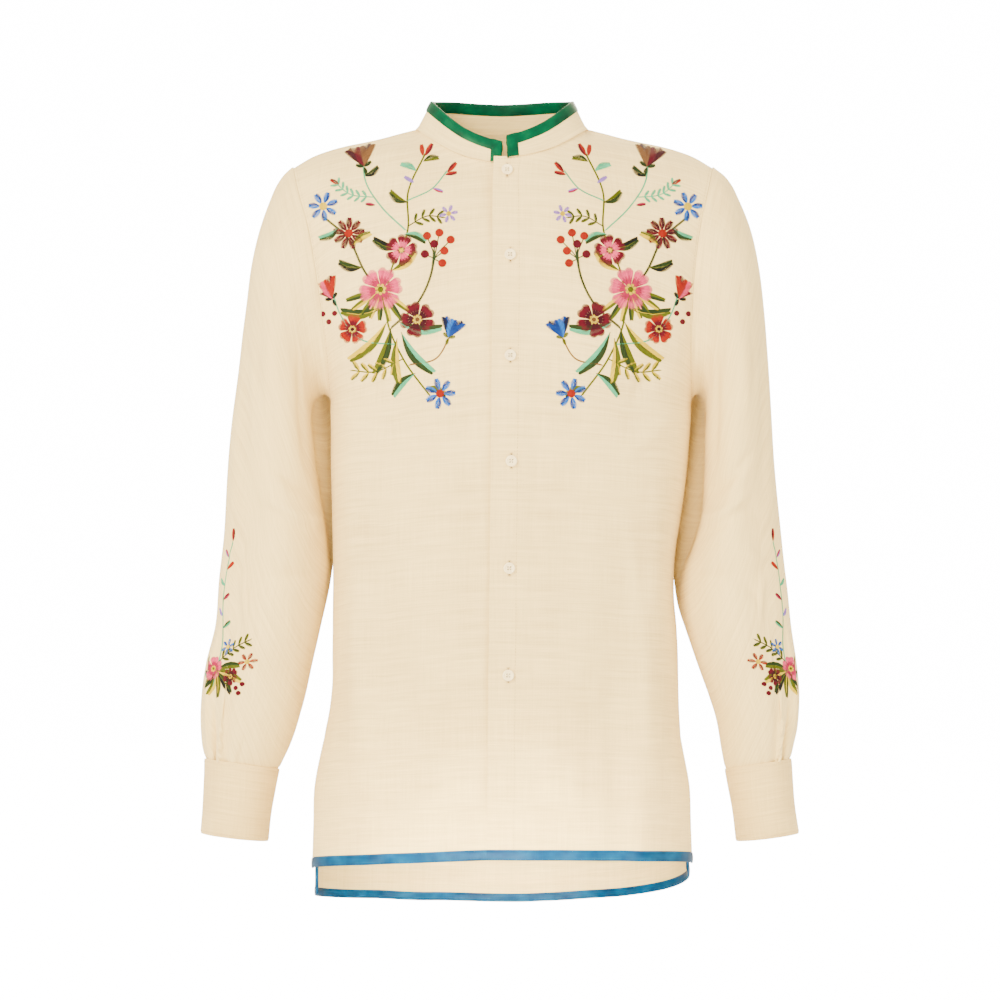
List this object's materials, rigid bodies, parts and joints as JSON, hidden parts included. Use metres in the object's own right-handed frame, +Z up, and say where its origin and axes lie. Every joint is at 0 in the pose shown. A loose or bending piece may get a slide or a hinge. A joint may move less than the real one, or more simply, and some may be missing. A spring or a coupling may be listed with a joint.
{
  "type": "long-sleeved linen shirt with band collar",
  "caption": "Long-sleeved linen shirt with a bound band collar, a buttoned front, pleated cuffs and a longer back hem with side vents, open and hollow as worn.",
  "frame": {"origin": "the centre of the neck, at the height where the collar meets the shoulders, which is where a wearer holds the shirt up", "axes": "+Z is up along the shirt's length, its longest extent; the front faces -Y; the wearer's left is +X"},
  "size_m": [0.5987, 0.253, 0.817],
  "materials": {
    "linen": "plain woven natural linen with faint slubs, matt",
    "green_satin": "emerald satin bias binding with a soft sheen",
    "blue_satin": "bright blue satin bias binding with a soft sheen",
    "ivory_shell": "ivory shell buttons, softly polished"
  },
  "bodies": {
    "root": {"front_right": "linen", "front_left": "linen", "back": "linen", "sleeve_right": "linen", "sleeve_left": "linen", "sleeve_placket_right": "linen", "sleeve_placket_left": "linen", "cuff_right": "linen", "cuff_left": "linen", "collar": "linen", "collar_binding": "green_satin", "hem_binding_front_right": "blue_satin", "hem_binding_front_left": "blue_satin", "hem_binding_back": "blue_satin", "button_1": "ivory_shell", "button_2": "ivory_shell", "button_3": "ivory_shell", "button_4": "ivory_shell", "button_5": "ivory_shell", "button_6": "ivory_shell", "cuff_button_right": "ivory_shell", "cuff_button_left": "ivory_shell"}
  },
  "joints": []
}
